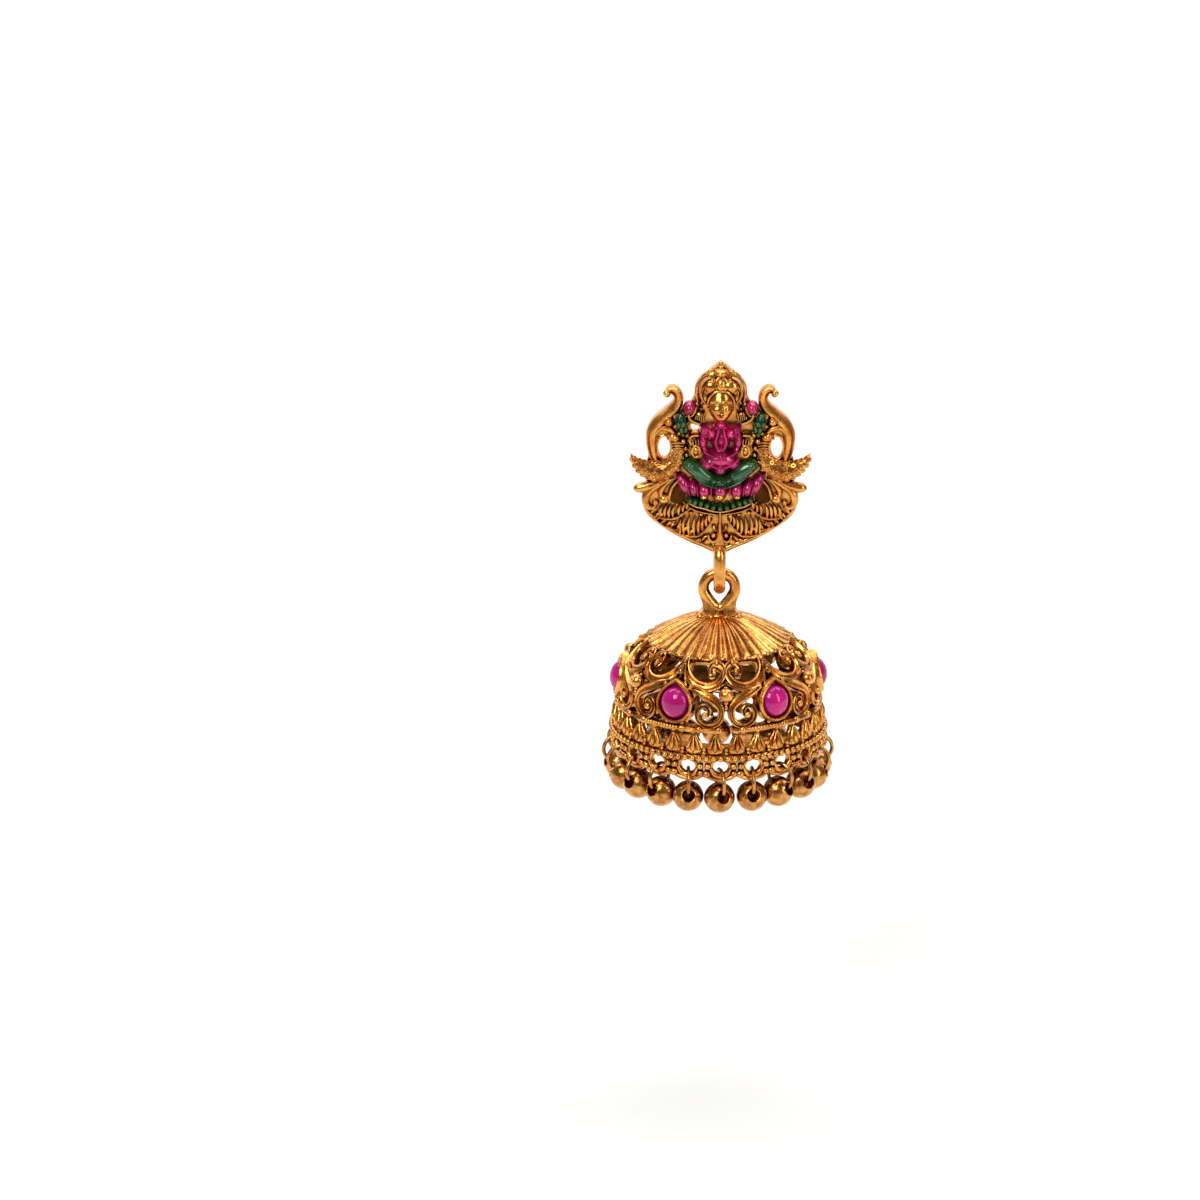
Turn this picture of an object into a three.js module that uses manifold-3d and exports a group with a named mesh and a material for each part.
// A jhumka earring: a cast openwork plaque with an enamelled seated figure, worn by a post on its back,
// and a pierced bell that swings from the plaque's loop, with six cabochons and a fringe of hollow beads.
// Millimetres. The origin is where the post leaves the plaque's back, +Z is up and the front faces -Y.

import * as THREE from "three";
import { mergeVertices } from "three/addons/utils/BufferGeometryUtils.js";
import Module from "manifold-3d";

const wasm = await Module();
wasm.setup();

// Plaque sizes. Its relief is laid out on a drawing grid, so every place on it is a share of these two.
const plaqueWidth = 22.4;
const plaqueHeight = 24.2;
const gridWide = 22.4;
const gridTall = 24.2;
const postFromBottom = 14; // the post's height above the plaque's lowest edge, in grid squares
const plateThickness = 1.2;
const reliefHeight = 0.9;
const reliefBevel = 0.35;

// The enamelled parts are fills of their own, set clear of the metal by this much.
const enamelGap = 0.1;

// Ear post
const postRadius = 0.45;
const postLength = 10.5;
const postPadRadius = 1.9;
const postPadThickness = 0.5;
const postTip = 0.5;

// The plaque's loop and the bell's bail, which hangs in it
const loopWire = 0.75;
const loopRadius = 1.75;
const loopStraight = 2.1;
const bailWire = 0.75;
const bailRadius = 1.84;
const bailPlay = 0.15;
const wireSides = 8;
const wireSteps = 12;
const loopRoot = 1.1; // how far the loop's crown is sunk in the plaque's lower edge

// Bell
const capEdgeRadius = 8.4;
const capHeight = 3.05;
const fluteCount = 36;
const fluteDepth = 0.32;
const capLip = 0.22; // how far each flute's end stands out over the scrollwork
const galleryHeight = 8;
const railRadius = 12.6;
const friezeHeight = 3.43;
const friezeRadius = 13.25;
const hemHeight = 3.17;
const hemRadius = 13.15;
const railRise = 0.3;
const railBreakWidth = 0.55;
const railBreakHeight = 1.1;
const bellWall = 0.9;
const collarRadius = 1.75;
const collarHeight = 1.25;
const unitCount = 6; // scrollwork units, with a stone between each two
const unitTurn = 3; // degrees from the fringe's foremost ring to the foremost unit's middle
const petalCount = 30;
const scallopCount = 20;
const scallopHoleRadius = 0.85;
const scallopHoleDown = 0.4; // the hole's centre, as a share of the hem's height
const scallopValley = 0.72; // where two lobes meet, as a share of the hem's height

// Relief on the bell
const petalHalfWidth = 1.08;
const petalLength = 2.75;
const petalRise = 0.52;
const centreBallRadius = 0.76;
const tipBallRadius = 0.42;

// Bezels and stones
const bezelHeight = 5.9;
const bezelWidth = 4.7;
const bezelRim = 0.5;
const bezelDepth = 1.6;
const bezelRecess = 0.75;
const bezelStandOut = 0.75;
const bezelTilt = 10;
const bezelCentreDown = 0.59; // of the gallery's height
const stoneWidth = 3.4;
const stoneLength = 3.8;
const stoneHeight = 1.75;
const stoneGap = 0.08;

// Fringe
const beadRadius = 1.93;
const ringRadius = 1.7;
const ringWire = 0.25;
const ringPlay = 0.18; // above the lower edge of the hole it hangs in
const ringSteps = 10;
const boreSide = 0.74; // the bead's square bore, which follows the ring
const beadBelowRing = 0.33; // the bead's centre under the ring's lowest turn
const beadInward = 0.35; // and that far towards the bell's axis, since the bore is near its outer side
// Each ring hangs turned a little about its own upright: degrees, repeated round the hem
const ringTurns = [16, -12, 20, -18, 8, 14, -20, 10, -8, 18];

// Places worked out from the sizes above
const across = (x) => (x * plaqueWidth) / gridWide;
const up = (z) => (z * plaqueHeight) / gridTall;
const plaqueBottom = up(-postFromBottom);
const plateFront = -plateThickness;
const hangY = plateFront / 2;
const loopTop = plaqueBottom + loopRoot - loopWire;
const loopBottom = loopTop - loopStraight - 2 * loopRadius;
const bailCentreZ = loopBottom + loopWire + bailPlay + bailWire - bailRadius;
const capApexZ = bailCentreZ - bailRadius - bailWire - collarHeight / 2;
const capEdgeZ = capApexZ - capHeight;
const friezeTop = galleryHeight;
const hemTop = galleryHeight + friezeHeight;

// Manifold helpers
function solid(geometry) {
  const bare = geometry.index ? geometry.toNonIndexed() : geometry.clone();
  bare.deleteAttribute("normal");
  bare.deleteAttribute("uv");
  const merged = mergeVertices(bare, 1e-4);
  return new wasm.Manifold(
    new wasm.Mesh({
      numProp: 3,
      vertProperties: new Float32Array(merged.attributes.position.array),
      triVerts: new Uint32Array(merged.index.array),
    }),
  );
}

function geometryOf(body) {
  const mesh = body.getMesh();
  const places = new Float32Array(mesh.numVert * 3);
  for (let i = 0; i < mesh.numVert; i++)
    places.set(mesh.vertProperties.subarray(i * mesh.numProp, i * mesh.numProp + 3), i * 3);
  const geometry = new THREE.BufferGeometry();
  geometry.setAttribute("position", new THREE.BufferAttribute(places, 3));
  geometry.setIndex(new THREE.BufferAttribute(new Uint32Array(mesh.triVerts), 1));
  geometry.computeVertexNormals();
  return geometry;
}

const join = (bodies) => bodies.reduce((whole, body) => whole.add(body));

// Turns a shape drawn flat, with its depth along +Z, to stand upright with its depth towards the front.
const frontward = new THREE.Matrix4().set(1, 0, 0, 0, 0, 0, -1, 0, 0, 1, 0, 0, 0, 0, 0, 1);

const outline = (rows, side = 1) =>
  new THREE.Shape(rows.map(([x, z]) => new THREE.Vector2(side * across(x), up(z))));

// A raised strap with a rounded top that follows a centreline: columns are x, z and half its width.
function strap(rows, side = 1, height = reliefHeight) {
  const section = [
    [-1, -plateThickness / 2],
    [-1, 0.35 * height],
    [-0.55, height],
    [0.55, height],
    [1, 0.35 * height],
    [1, -plateThickness / 2],
  ];
  const count = section.length;
  const places = [];
  rows.forEach(([x, z, half], i) => {
    const [x0, z0] = rows[Math.max(i - 1, 0)];
    const [x1, z1] = rows[Math.min(i + 1, rows.length - 1)];
    const length = Math.hypot(x1 - x0, z1 - z0);
    for (const [share, out] of section) {
      const sideways = share * half;
      places.push(side * across(x + ((z1 - z0) / length) * sideways));
      places.push(plateFront - out);
      places.push(up(z - ((x1 - x0) / length) * sideways));
    }
  });
  const faces = [];
  for (let i = 0; i < rows.length - 1; i++)
    for (let k = 0; k < count; k++) {
      const [a, b] = [i * count + k, i * count + ((k + 1) % count)];
      faces.push([a, b, b + count], [a, b + count, a + count]);
    }
  const last = (rows.length - 1) * count;
  for (let k = 1; k < count - 1; k++) faces.push([0, k + 1, k], [last, last + k, last + k + 1]);
  const geometry = new THREE.BufferGeometry();
  geometry.setAttribute("position", new THREE.Float32BufferAttribute(places, 3));
  geometry.setIndex(faces.flatMap(([p, q, r]) => (side > 0 ? [p, q, r] : [p, r, q])));
  return solid(geometry);
}

// A raised form with a bevelled edge, rooted in the plate.
function relief(shape) {
  const root = plateThickness / 2;
  return solid(
    new THREE.ExtrudeGeometry(shape, {
      depth: root + reliefHeight - 2 * reliefBevel,
      bevelThickness: reliefBevel,
      bevelSize: reliefBevel,
      bevelOffset: -reliefBevel,
      bevelSegments: 1,
    })
      .translate(0, 0, root + reliefBevel)
      .applyMatrix4(frontward),
  );
}

// A rounded form on the plate's face: columns are x, z, half its width, half its height, how far it
// stands out, and its turn in degrees. It is grown all round by the gap that its neighbour keeps.
function rounded([x, z, halfWide, halfTall, standsOut, turn = 0], grow = 0, sides = 8, rings = 4) {
  const form = new THREE.SphereGeometry(1, sides, rings)
    .rotateY(Math.PI / sides)
    .scale(across(halfWide) + grow, standsOut + grow, up(halfTall) + grow)
    .rotateY(THREE.MathUtils.degToRad(-turn))
    .translate(across(x), plateFront, up(z));
  return solid(form);
}

const behindFront = solid(
  new THREE.BoxGeometry(4 * plaqueWidth, 4 * plaqueWidth, 4 * plaqueHeight).translate(
    0,
    plateFront + 2 * plaqueWidth,
    0,
  ),
);
const onFace = (body) => body.subtract(behindFront);

const bothSides = (rows) =>
  rows.flatMap((row) => (row[0] === 0 ? [row] : [row, [-row[0], ...row.slice(1, 5), -(row[5] ?? 0)]]));
const roundedAll = (rows, grow = 0, sides = 8, rings = 4) =>
  join(bothSides(rows).map((row) => rounded(row, grow, sides, rings)));

// Plaque drawing, right half, in grid squares from the post
const plateEdge = [
  [0.5, 9.35],
  [1.35, 8.9],
  [1.5, 8.1],
  [2.75, 7.15],
  [3.2, 5.7],
  [3.9, 4.85],
  [4.6, 4.5],
  [4.6, 5.3],
  [5.0, 6.25],
  [5.75, 6.7],
  [6.5, 6.6],
  [6.85, 6.1],
  [6.5, 5.55],
  [5.95, 5.6],
  [5.9, 4.9],
  [6.25, 4.0],
  [7.2, 3.05],
  [8.4, 2.05],
  [9.05, 1.0],
  [9.2, -0.1],
  [9.1, -1.6],
  [8.95, -2.7],
  [9.6, -2.45],
  [10.3, -1.85],
  [10.95, -1.8],
  [11.2, -2.5],
  [10.85, -3.9],
  [10.0, -5.2],
  [10.6, -5.7],
  [10.8, -6.25],
  [10.35, -6.85],
  [9.5, -7.0],
  [9.6, -8.0],
  [9.45, -9.0],
  [8.5, -10.1],
  [6.8, -11.5],
  [5.1, -12.5],
  [3.4, -13.25],
  [1.7, -13.85],
  [0.9, -14.0],
];
const crownTip = [0, 10.2];
const hornOpening = { x: 6.95, z: -1.35, halfWide: 0.62, halfTall: 1.4 };
const shoulderOpening = { x: -3.0, z: 1.5, halfWide: 0.36, halfTall: 0.42 };
const horn = [
  [6.4, 5.95, 0.42],
  [5.75, 6.2, 0.42],
  [5.25, 5.3, 0.56],
  [5.5, 4.1, 0.62],
  [6.6, 2.9, 0.66],
  [7.9, 1.8, 0.66],
  [8.6, 0.3, 0.56],
  [8.55, -1.4, 0.5],
  [8.2, -2.6, 0.42],
];
const birdTail = [
  [10.85, -1.95, 0.2],
  [10.35, -3.2, 0.75],
  [9.2, -4.15, 1.15],
  [7.7, -4.35, 1.3],
  [6.2, -3.7, 1.15],
  [5.35, -2.4, 0.8],
  [5.4, -0.9, 0.6],
  [5.6, -0.1, 0.5],
];
const stemScroll = [
  [6.6, -5.4, 0.3],
  [8.2, -6.3, 0.42],
  [9.0, -7.4, 0.42],
  [9.0, -8.5, 0.4],
  [8.3, -9.0, 0.36],
  [7.8, -8.5, 0.3],
];
const innerStem = [
  [5.5, -5.2, 0.28],
  [6.2, -6.4, 0.34],
  [6.5, -7.4, 0.34],
];
const innerLeaf = [
  [0.9, -10.4],
  [2.2, -10.1],
  [3.4, -10.9],
  [4.1, -12.3],
  [2.7, -12.4],
  [1.5, -11.6],
];
const outerLeaf = [
  [4.0, -8.6],
  [5.6, -8.2],
  [7.3, -9.0],
  [8.1, -10.1],
  [6.3, -10.5],
  [4.7, -9.8],
];
const goldForms = [
  [0, 5.2, 3.1, 2.95, 0.9], // halo
  [9.4, -6.25, 1.25, 0.55, 0.9, 0], // side petals
  [6.75, -7.95, 0.5, 0.5, 1.0, 0], // scroll balls
  [3.05, -0.95, 0.6, 0.85, 2.0, 0], // lower hands
  [3.9, 0.35, 0.5, 1.05, 1.3, 35], // forearms
];
const headForms = [
  [0, 3.95, 1.55, 1.9, 3.0], // face
  [0, 6.55, 1.95, 1.35, 2.1], // headdress
  [0, 8.35, 1.05, 0.7, 1.5], // topknot
  [2.0, 3.0, 0.5, 0.95, 1.5, 12], // ear drops
];
const bodiceForms = [
  [0, 0.95, 2.5, 1.5, 1.9],
  [0, -2.1, 2.2, 2.1, 1.6],
  [1.15, 0.75, 1.0, 0.95, 2.5, 0],
];
const skirtForms = [
  [2.35, -3.85, 2.35, 0.95, 2.3, 28],
  [0, -4.85, 1.35, 0.75, 2.5],
];
const lotusPetalForms = [
  [0, -6.2, 1.2, 1.3, 2.1],
  [2.15, -6.15, 1.2, 1.25, 1.9, 0],
  [4.1, -5.75, 1.15, 1.45, 1.6, 18],
];
const lotusBaseForms = [
  [0, -8.45, 0.72, 0.72, 1.4],
  [1.2, -8.35, 0.72, 0.68, 1.35, 0],
  [2.4, -8.2, 0.72, 0.62, 1.3, 0],
  [3.4, -8.0, 0.62, 0.52, 1.2, 0],
];
const budForm = [3.9, 4.05, 0.74, 0.74, 1.35, 0];
const handLeafForm = [4.65, 1.95, 0.72, 1.55, 1.2, -6];

function ellipsePath({ x, z, halfWide, halfTall }, side = 1) {
  const radii = [across(halfWide), up(halfTall)];
  return new THREE.Path().absellipse(side * across(x), up(z), ...radii, 0, 2 * Math.PI, false);
}

function plate() {
  const rightEdge = [crownTip, ...plateEdge];
  const leftEdge = plateEdge.map(([x, z]) => [-x, z]).reverse();
  const shape = outline([...rightEdge, ...leftEdge]);
  shape.holes.push(ellipsePath(hornOpening), ellipsePath(hornOpening, -1), ellipsePath(shoulderOpening));
  const options = { depth: plateThickness, bevelEnabled: false, curveSegments: 6 };
  return solid(new THREE.ExtrudeGeometry(shape, options).applyMatrix4(frontward));
}

// The loop stands fore and aft under the plaque: a ring whose upper half is raised by the straight.
function plaqueLoop() {
  const ring = new THREE.TorusGeometry(loopRadius, loopWire, wireSides, wireSteps);
  const places = ring.attributes.position;
  for (let i = 0; i < places.count; i++)
    if (places.getY(i) > loopRadius / 10) places.setY(i, places.getY(i) + loopStraight);
  return solid(
    ring
      .rotateX(Math.PI / 2)
      .rotateZ(Math.PI / 2)
      .translate(0, hangY, loopBottom + loopRadius),
  );
}

function flare() {
  const top = plaqueBottom + up(1);
  return solid(
    new THREE.CylinderGeometry(2 * loopWire, loopWire * 0.9, top - loopTop + loopRadius, 8)
      .scale(1, plateThickness / (2 * loopWire), 1)
      .rotateX(Math.PI / 2)
      .translate(0, hangY, (top + loopTop - loopRadius) / 2 + loopRadius / 2),
  );
}

const headBody = roundedAll(headForms, 0, 8, 6);
const headGrown = roundedAll(headForms, enamelGap, 8, 6);
const enamel = {
  bodice: onFace(
    roundedAll(bodiceForms).subtract(headGrown).subtract(roundedAll(skirtForms, enamelGap)),
  ),
  skirt: onFace(roundedAll(skirtForms)),
  lotus_petals: onFace(roundedAll(lotusPetalForms).subtract(roundedAll(skirtForms, enamelGap))),
  lotus_base: onFace(
    roundedAll(lotusBaseForms, 0, 6).subtract(roundedAll(lotusPetalForms, enamelGap)),
  ),
};
for (const [name, side] of [
  ["right", 1],
  ["left", -1],
]) {
  const sided = ([x, z, wide, tall, out, turn]) => [side * x, z, wide, tall, out, side * turn];
  enamel["bud_" + name] = onFace(rounded(sided(budForm)));
  enamel["hand_leaf_" + name] = onFace(
    rounded(sided(handLeafForm), 0, 6).subtract(rounded(sided(budForm), enamelGap)),
  );
}
const enamelGrown = onFace(
  join([
    roundedAll(bodiceForms, enamelGap),
    roundedAll(skirtForms, enamelGap),
    roundedAll(lotusPetalForms, enamelGap),
    roundedAll(lotusBaseForms, enamelGap, 6),
    roundedAll([budForm], enamelGap),
    roundedAll([handLeafForm], enamelGap, 6),
  ]),
);

function plaque() {
  const raised = [1, -1].flatMap((side) => [
    strap(horn, side),
    strap(birdTail, side, reliefHeight * 1.3),
    strap(stemScroll, side, reliefHeight * 0.8),
    strap(innerStem, side, reliefHeight * 0.8),
    relief(outline(innerLeaf, side)),
    relief(outline(outerLeaf, side)),
  ]);
  const metal = join([...raised, roundedAll(goldForms)]).subtract(enamelGrown);
  const front = onFace(metal.add(headBody));
  return plate().add(front).add(flare()).add(plaqueLoop());
}

// The bell's wall is one thin sheet: its points are named by their angle and their distance down from
// the cap's edge. Points with a negative distance lie on the cap, that far inside its edge.
const sheet = { places: [], numbers: new Map(), faces: [] };

function sheetPoint(degrees, down) {
  const atApex = down < -capEdgeRadius + 1e-6;
  const turn = atApex ? 0 : ((degrees % 360) + 360) % 360;
  const key = turn.toFixed(4) + " " + down.toFixed(4);
  if (!sheet.numbers.has(key)) {
    sheet.numbers.set(key, sheet.places.length);
    sheet.places.push([turn, down]);
  }
  return sheet.numbers.get(key);
}

function wallRadius(down) {
  if (down < 0) return capEdgeRadius + down;
  if (down <= friezeTop)
    return capEdgeRadius + (railRadius - capEdgeRadius) * (1 - (1 - down / galleryHeight) ** 3);
  if (down <= hemTop) return railRadius + ((friezeRadius - railRadius) * (down - friezeTop)) / friezeHeight;
  return friezeRadius + ((hemRadius - friezeRadius) * (down - hemTop)) / hemHeight;
}

const wallHeight = (down) => (down < 0 ? capHeight * (1 - (wallRadius(down) / capEdgeRadius) ** 2) : -down);

function sheetPlace([degrees, down], inside) {
  const step = 0.05;
  const radius = wallRadius(down);
  const dr = wallRadius(down + step) - wallRadius(Math.max(down - step, -capEdgeRadius));
  const dz = wallHeight(down + step) - wallHeight(Math.max(down - step, -capEdgeRadius));
  const length = Math.hypot(dr, dz);
  const normal = radius < step ? [0, 1] : [-dz / length, dr / length];
  const isRail = Math.abs(down - friezeTop) < 1e-6 || Math.abs(down - hemTop) < 1e-6;
  const isLip = Math.abs(down) < 1e-6;
  const isGroove = down <= 1e-6 && Math.round(((degrees - unitTurn) * fluteCount) / 180) % 2 !== 0;
  const grooved = isGroove ? -fluteDepth * (radius / capEdgeRadius) : 0;
  const offset = inside ? -bellWall : (isRail ? railRise : 0) + (isLip ? capLip : 0) + grooved;
  const turned = THREE.MathUtils.degToRad(degrees - 90);
  const out = radius + normal[0] * offset;
  return [out * Math.cos(turned), out * Math.sin(turned), wallHeight(down) + normal[1] * offset];
}

// Swaps the shared edge of two triangles for the other diagonal of their quad wherever that is shorter,
// so that no triangle cuts a long chord across the round wall.
function shortenEdges(points, faces) {
  const area = (a, b, c) => {
    const [p, q, r] = [points[a], points[b], points[c]];
    return (q.x - p.x) * (r.y - p.y) - (q.y - p.y) * (r.x - p.x);
  };
  const reach = (a, b) => points[a].distanceTo(points[b]);
  for (let swapped = true, rounds = 0; swapped && rounds < 30; rounds++) {
    swapped = false;
    const owner = new Map();
    faces.forEach((face, f) => face.forEach((a, i) => owner.set(a + " " + face[(i + 1) % 3], f)));
    const touched = new Set();
    for (const [edge, f] of owner) {
      const [a, b] = edge.split(" ").map(Number);
      const g = owner.get(b + " " + a);
      if (g === undefined || touched.has(f) || touched.has(g)) continue;
      const c = faces[f].find((v) => v !== a && v !== b);
      const d = faces[g].find((v) => v !== a && v !== b);
      if (reach(c, d) > reach(a, b) - 1e-6 || area(c, a, d) < 1e-6 || area(d, b, c) < 1e-6) continue;
      faces[f] = [c, a, d];
      faces[g] = [d, b, c];
      touched.add(f).add(g);
      swapped = true;
    }
  }
  return faces;
}

// Repeats one flat cell round the wall: its edge and holes are rows of degrees from its middle and
// distances down. It is cut into triangles with its straight sides bulged a little, since points in a
// straight line would be left out, and the neighbour's triangles need them.
function addCells(copies, edge, holes, middle = 0) {
  const bulge = 0.04;
  const wide = Math.max(...edge.map(([degrees]) => degrees));
  const highest = Math.min(...edge.map(([, down]) => down));
  const lowest = Math.max(...edge.map(([, down]) => down));
  const [mid, tall] = [(highest + lowest) / 2, (lowest - highest) / 2];
  const flat = (rows) =>
    rows.map(([degrees, down]) => {
      const [x, y] = [degrees / wide, (mid - down) / tall];
      return new THREE.Vector2(
        x * (1 + bulge * (1 - y * y)) * wide * 0.2,
        y * (1 + bulge * (1 - x * x)) * tall,
      );
    });
  const contour = flat(edge);
  const cuts = holes.map(flat);
  const points = [contour, ...cuts].flat();
  const rows = [edge, ...holes].flat();
  const faces = THREE.ShapeUtils.triangulateShape(contour, cuts).map(([a, b, c]) => {
    const [p, q, r] = [points[a], points[b], points[c]];
    const turnsLeft = (q.x - p.x) * (r.y - p.y) - (q.y - p.y) * (r.x - p.x) > 0;
    return turnsLeft ? [a, b, c] : [a, c, b];
  });
  shortenEdges(points, faces);
  for (let copy = 0; copy < copies; copy++) {
    const centre = middle + (copy * 360) / copies;
    for (const face of faces)
      sheet.faces.push(face.map((i) => sheetPoint(centre + rows[i][0], rows[i][1])));
  }
}

const across0to1 = (steps) => Array.from({ length: steps + 1 }, (_, i) => i / steps);
const mirrored = (rows) => rows.map(([x, ...rest]) => [-x, ...rest]).reverse();

function addCap() {
  const steps = 2 * fluteCount;
  const rings = [-1, -0.72, -0.36, 0].map((share) => share * capEdgeRadius);
  for (let i = 0; i < steps; i++) {
    const [from, to] = [unitTurn + (i * 360) / steps, unitTurn + ((i + 1) * 360) / steps];
    rings.slice(1).forEach((lower, row) => {
      const upper = rings[row];
      const [a, b] = [sheetPoint(from, lower), sheetPoint(to, lower)];
      const [c, d] = [sheetPoint(to, upper), sheetPoint(from, upper)];
      sheet.faces.push([a, b, c]);
      if (row > 0) sheet.faces.push([a, c, d]);
    });
  }
}

// One scrollwork unit: columns are the share across the unit from its middle, and the share down it.
const upperScrollGap = [
  [0.055, 0.06],
  [0.32, 0.06],
  [0.35, 0.15],
  [0.3, 0.26],
  [0.21, 0.33],
  [0.135, 0.33],
  [0.185, 0.2],
  [0.165, 0.115],
  [0.095, 0.105],
];
const ballSideGap = [
  [0.062, 0.475],
  [0.13, 0.47],
  [0.07, 0.6],
  [0.037, 0.56],
];
const upperBezelGap = [
  [0.175, 0.56],
  [0.235, 0.49],
  [0.3, 0.46],
  [0.315, 0.62],
  [0.285, 0.7],
  [0.235, 0.63],
];
const lowerBezelGap = [
  [0.262, 0.945],
  [0.295, 0.8],
  [0.33, 0.79],
  [0.385, 0.9],
  [0.367, 0.945],
];
const middleGap = [
  [0, 0.77],
  [0.047, 0.88],
  [0.067, 0.945],
  [-0.067, 0.945],
  [-0.047, 0.88],
];

function addGallery() {
  const unit = 360 / unitCount;
  const place = ([x, down]) => [x * unit, down * galleryHeight];
  const borderSteps = (2 * fluteCount) / unitCount;
  const railSteps = (2 * petalCount) / unitCount;
  const side = [0.27, 0.55, 0.8];
  const edge = [
    ...across0to1(railSteps).map((x) => [x - 0.5, 1]),
    ...side.map((down) => [0.5, down]).reverse(),
    ...across0to1(borderSteps).map((x) => [0.5 - x, 0]),
    ...side.map((down) => [-0.5, down]),
  ];
  const paired = [upperScrollGap, ballSideGap, upperBezelGap, lowerBezelGap];
  const holes = [...paired, ...paired.map(mirrored), middleGap];
  addCells(
    unitCount,
    edge.map(place),
    holes.map((rows) => rows.map(place)),
    unitTurn,
  );
}

// The frieze is pierced between the petals' tips.
function addFrieze() {
  const petal = 360 / petalCount;
  const place = ([x, down]) => [x * petal, friezeTop + down * friezeHeight];
  const edge = [
    [-0.5, 1],
    [0, 1],
    [0.5, 1],
    [0.5, 0],
    [0, 0],
    [-0.5, 0],
  ];
  const gap = [
    [-0.4, 0.1],
    [0, 0.56],
    [0.4, 0.1],
  ];
  addCells(petalCount, edge.map(place), [gap.map(place)], unitTurn);
}

// The hem is a row of round lobes, each with a hole for its ring.
function addHem() {
  const lobe = 360 / scallopCount;
  const holeWide = THREE.MathUtils.radToDeg(scallopHoleRadius / hemRadius);
  const steps = (2 * petalCount) / scallopCount;
  const holeSides = 7;
  const edge = [
    ...[-0.5, -0.4, -0.15, 0.15, 0.4, 0.5].map((x) => [
      x * lobe,
      hemTop + hemHeight * (scallopValley + (1 - scallopValley) * Math.sqrt(Math.max(0, 1 - 4 * x * x))),
    ]),
    ...across0to1(steps).map((x) => [(0.5 - x) * lobe, hemTop]),
  ];
  const hole = across0to1(holeSides)
    .slice(1)
    .map((turn) => [
      holeWide * Math.sin(2 * Math.PI * turn),
      hemTop + scallopHoleDown * hemHeight + scallopHoleRadius * Math.cos(2 * Math.PI * turn),
    ]);
  addCells(scallopCount, edge, [hole]);
}

// Thickens the sheet: its outer face, its inner face, and a wall along each free edge.
function sheetSolid() {
  const places = [false, true].flatMap((inside) =>
    sheet.places.flatMap((row) => sheetPlace(row, inside)),
  );
  const inner = sheet.places.length;
  const edges = new Set(sheet.faces.flatMap((face) => face.map((a, i) => a + " " + face[(i + 1) % 3])));
  const walls = [...edges]
    .map((edge) => edge.split(" ").map(Number))
    .filter(([a, b]) => !edges.has(b + " " + a))
    .flatMap(([a, b]) => [
      [b, a, a + inner],
      [b, a + inner, b + inner],
    ]);
  const innerFaces = sheet.faces.map(([a, b, c]) => [a + inner, c + inner, b + inner]);
  const geometry = new THREE.BufferGeometry();
  geometry.setAttribute("position", new THREE.Float32BufferAttribute(places, 3));
  geometry.setIndex([...sheet.faces, ...innerFaces, ...walls].flat());
  return solid(geometry);
}

// Carries a form from the front of the bell, where it faces -Y, round its axis.
const roundBell = (geometry, degrees) => geometry.rotateZ(THREE.MathUtils.degToRad(degrees));

function petalForm(degrees) {
  const middle = friezeTop + friezeHeight * 0.1 + petalLength / 2;
  return solid(
    roundBell(
      new THREE.ConeGeometry(petalHalfWidth, petalLength, 4)
        .rotateX(Math.PI / 2)
        .scale(1, petalRise / petalHalfWidth, 1)
        .translate(0, -wallRadius(middle), -middle),
      degrees,
    ),
  );
}

function ballForm(degrees, downShare, radius, sides = 7, rings = 5) {
  const down = downShare * galleryHeight;
  const ball = new THREE.SphereGeometry(radius, sides, rings);
  return solid(roundBell(ball.translate(0, -wallRadius(down), -down), degrees));
}

// A drop outline: a round foot that draws up to a point.
function dropShape(width, height) {
  const foot = width / 2;
  const shape = new THREE.Shape();
  const low = foot - height / 2;
  const top = height / 2;
  shape.moveTo(0, top);
  shape.quadraticCurveTo(-foot, (low + top) / 2, -foot, low);
  shape.absarc(0, low, foot, Math.PI, 2 * Math.PI, false);
  shape.quadraticCurveTo(foot, (low + top) / 2, 0, top);
  return shape;
}

const bezelDown = bezelCentreDown * galleryHeight;
// Carries a form that faces -Y at the origin to a bezel's seat on the wall.
const toSeat = (geometry, degrees) =>
  roundBell(
    geometry
      .rotateX(THREE.MathUtils.degToRad(-bezelTilt))
      .translate(0, -wallRadius(bezelDown) - bezelStandOut, -bezelDown),
    degrees,
  );

function bezelCup(degrees) {
  const drop = (inset, depth, back) =>
    solid(
      toSeat(
        new THREE.ExtrudeGeometry(dropShape(bezelWidth - 2 * inset, bezelHeight - 3 * inset), {
          depth,
          bevelEnabled: false,
          curveSegments: 3,
        })
          .translate(0, -inset / 2, -back)
          .applyMatrix4(frontward),
        degrees,
      ),
    );
  return { outer: drop(0, bezelDepth, bezelDepth), recess: drop(bezelRim, bezelRecess * 2, bezelRecess) };
}

// An oval cabochon with its flat back on the cup's floor.
function cabochon(degrees) {
  const rows = [
    [0, 0],
    [1, 0.1],
    [0.86, 0.62],
    [0.45, 0.94],
    [0, 1],
  ];
  const footRadius = bezelWidth / 2 - bezelRim;
  const footCentre = (bezelWidth - bezelHeight) / 2;
  const centre = footCentre - footRadius + 1.5 * stoneGap + stoneLength / 2;
  return toSeat(
    new THREE.LatheGeometry(
      rows.map(([out, height]) => new THREE.Vector2(out * (stoneWidth / 2), height * stoneHeight)),
      10,
    )
      .scale(1, 1, stoneLength / stoneWidth)
      .rotateX(Math.PI)
      .translate(0, bezelRecess - stoneGap, centre),
    degrees,
  );
}

function bail() {
  const ring = new THREE.TorusGeometry(bailRadius, bailWire, wireSides, wireSteps).rotateX(Math.PI / 2);
  return solid(ring.translate(0, 0, bailCentreZ - capEdgeZ));
}

function collar() {
  return solid(
    new THREE.CylinderGeometry(bailWire * 1.1, collarRadius, collarHeight * 1.6, 10)
      .rotateX(Math.PI / 2)
      .translate(0, 0, capHeight + collarHeight * 0.3),
  );
}

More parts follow.
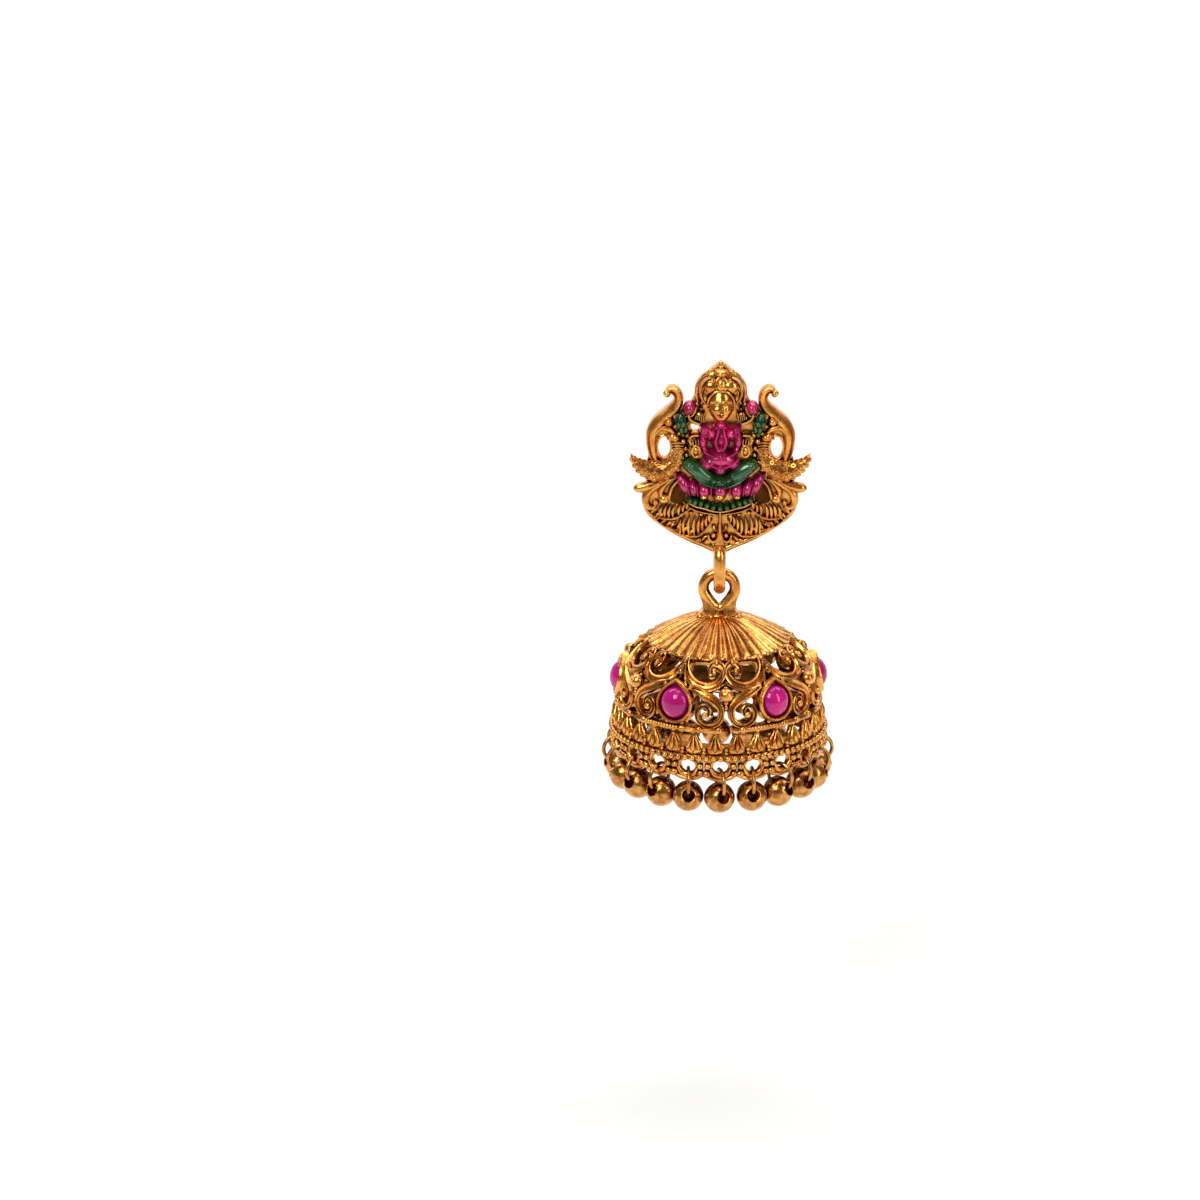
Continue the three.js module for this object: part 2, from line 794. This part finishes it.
// A short stretch of the upper rail is missing at the front, as cast.
function railBreak() {
  const slot = new THREE.BoxGeometry(railBreakWidth, 4 * bellWall, railBreakHeight);
  return solid(roundBell(slot.translate(0, -railRadius, -friezeTop), unitTurn));
}

function bell() {
  addCap();
  addGallery();
  addFrieze();
  addHem();
  const unit = 360 / unitCount;
  const seats = across0to1(unitCount).slice(1).map((turn) => turn * 360 + unit / 2 + unitTurn);
  const cups = seats.map(bezelCup);
  const raised = [
    ...across0to1(petalCount).slice(1).map((turn) => petalForm(turn * 360 + 180 / petalCount + unitTurn)),
    ...seats.map((degrees) => ballForm(degrees - unit / 2, 0.41, centreBallRadius)),
    ...seats.map((degrees) => ballForm(degrees, 0.16, tipBallRadius, 6, 4)),
    ...cups.map((cup) => cup.outer),
    bail(),
    collar(),
  ];
  let whole = sheetSolid().add(join(raised));
  for (const cup of cups) whole = whole.subtract(cup.recess);
  return whole.subtract(railBreak());
}

// One bead on its ring. The ring stands in the plane of the bell's radius, turned a little.
function fringeDrop(index) {
  const degrees = (index * 360) / scallopCount;
  const holeDown = hemTop + scallopHoleDown * hemHeight;
  const wallMiddle = wallRadius(holeDown) - bellWall / 2;
  const ringTop = -holeDown - scallopHoleRadius + ringWire + ringPlay;
  const ringCentre = ringTop - ringRadius;
  const turn = THREE.MathUtils.degToRad(ringTurns[index % ringTurns.length]);
  const ringOf = (wire, sides) =>
    new THREE.TorusGeometry(ringRadius, wire, sides, ringSteps)
      .rotateY(Math.PI / 2)
      .translate(0, 0, ringCentre);
  const hang = (geometry) => roundBell(geometry.rotateZ(turn).translate(0, -wallMiddle, 0), degrees);
  const ball = new THREE.SphereGeometry(beadRadius, 10, 5)
    .rotateX(Math.PI / 2)
    .translate(0, beadInward, ringCentre - ringRadius - beadBelowRing);
  return {
    ring: hang(ringOf(ringWire, 5)),
    bead: geometryOf(solid(hang(ball)).subtract(solid(hang(ringOf(boreSide / Math.SQRT2, 4))))),
  };
}

function earPost() {
  const rows = [
    [0, 0],
    [postPadRadius, 0],
    [postPadRadius, postPadThickness],
    [postRadius, postPadThickness],
    [postRadius, postLength - postTip],
    [postRadius / 2, postLength],
    [0, postLength],
  ];
  return new THREE.LatheGeometry(
    rows.map(([radius, along]) => new THREE.Vector2(radius, along)),
    8,
  );
}

const finish = (color, metalness, roughness) =>
  new THREE.MeshStandardMaterial({ color, metalness, roughness });
const gold = finish(0xb9802c, 1, 0.35);
const magenta = finish(0xa8175f, 0.2, 0.2);
const green = finish(0x1f5a2c, 0.2, 0.25);
const ruby = finish(0xc2127c, 0, 0.05);

const earring = new THREE.Group();
function piece(name, geometry, material, parent = earring) {
  const mesh = new THREE.Mesh(geometry, material);
  mesh.name = name;
  parent.add(mesh);
}

piece("plaque", geometryOf(plaque()), gold);
piece("ear_post", earPost(), gold);
for (const [name, body] of Object.entries(enamel)) {
  const isGreen = ["skirt", "lotus_base", "hand_leaf_left", "hand_leaf_right"].includes(name);
  piece("enamel_" + name, geometryOf(body), isGreen ? green : magenta);
}

const hanging = new THREE.Group();
hanging.position.set(0, hangY, capEdgeZ);
earring.add(hanging);
piece("bell", geometryOf(bell()), gold, hanging);
for (let i = 0; i < unitCount; i++)
  piece("stone_" + (i + 1), cabochon(unitTurn + ((i + 0.5) * 360) / unitCount), ruby, hanging);
for (let i = 0; i < scallopCount; i++) {
  const number = String(i + 1).padStart(2, "0");
  const { ring, bead } = fringeDrop(i);
  piece("bead_ring_" + number, ring, gold, hanging);
  piece("bead_" + number, bead, gold, hanging);
}

export default earring;
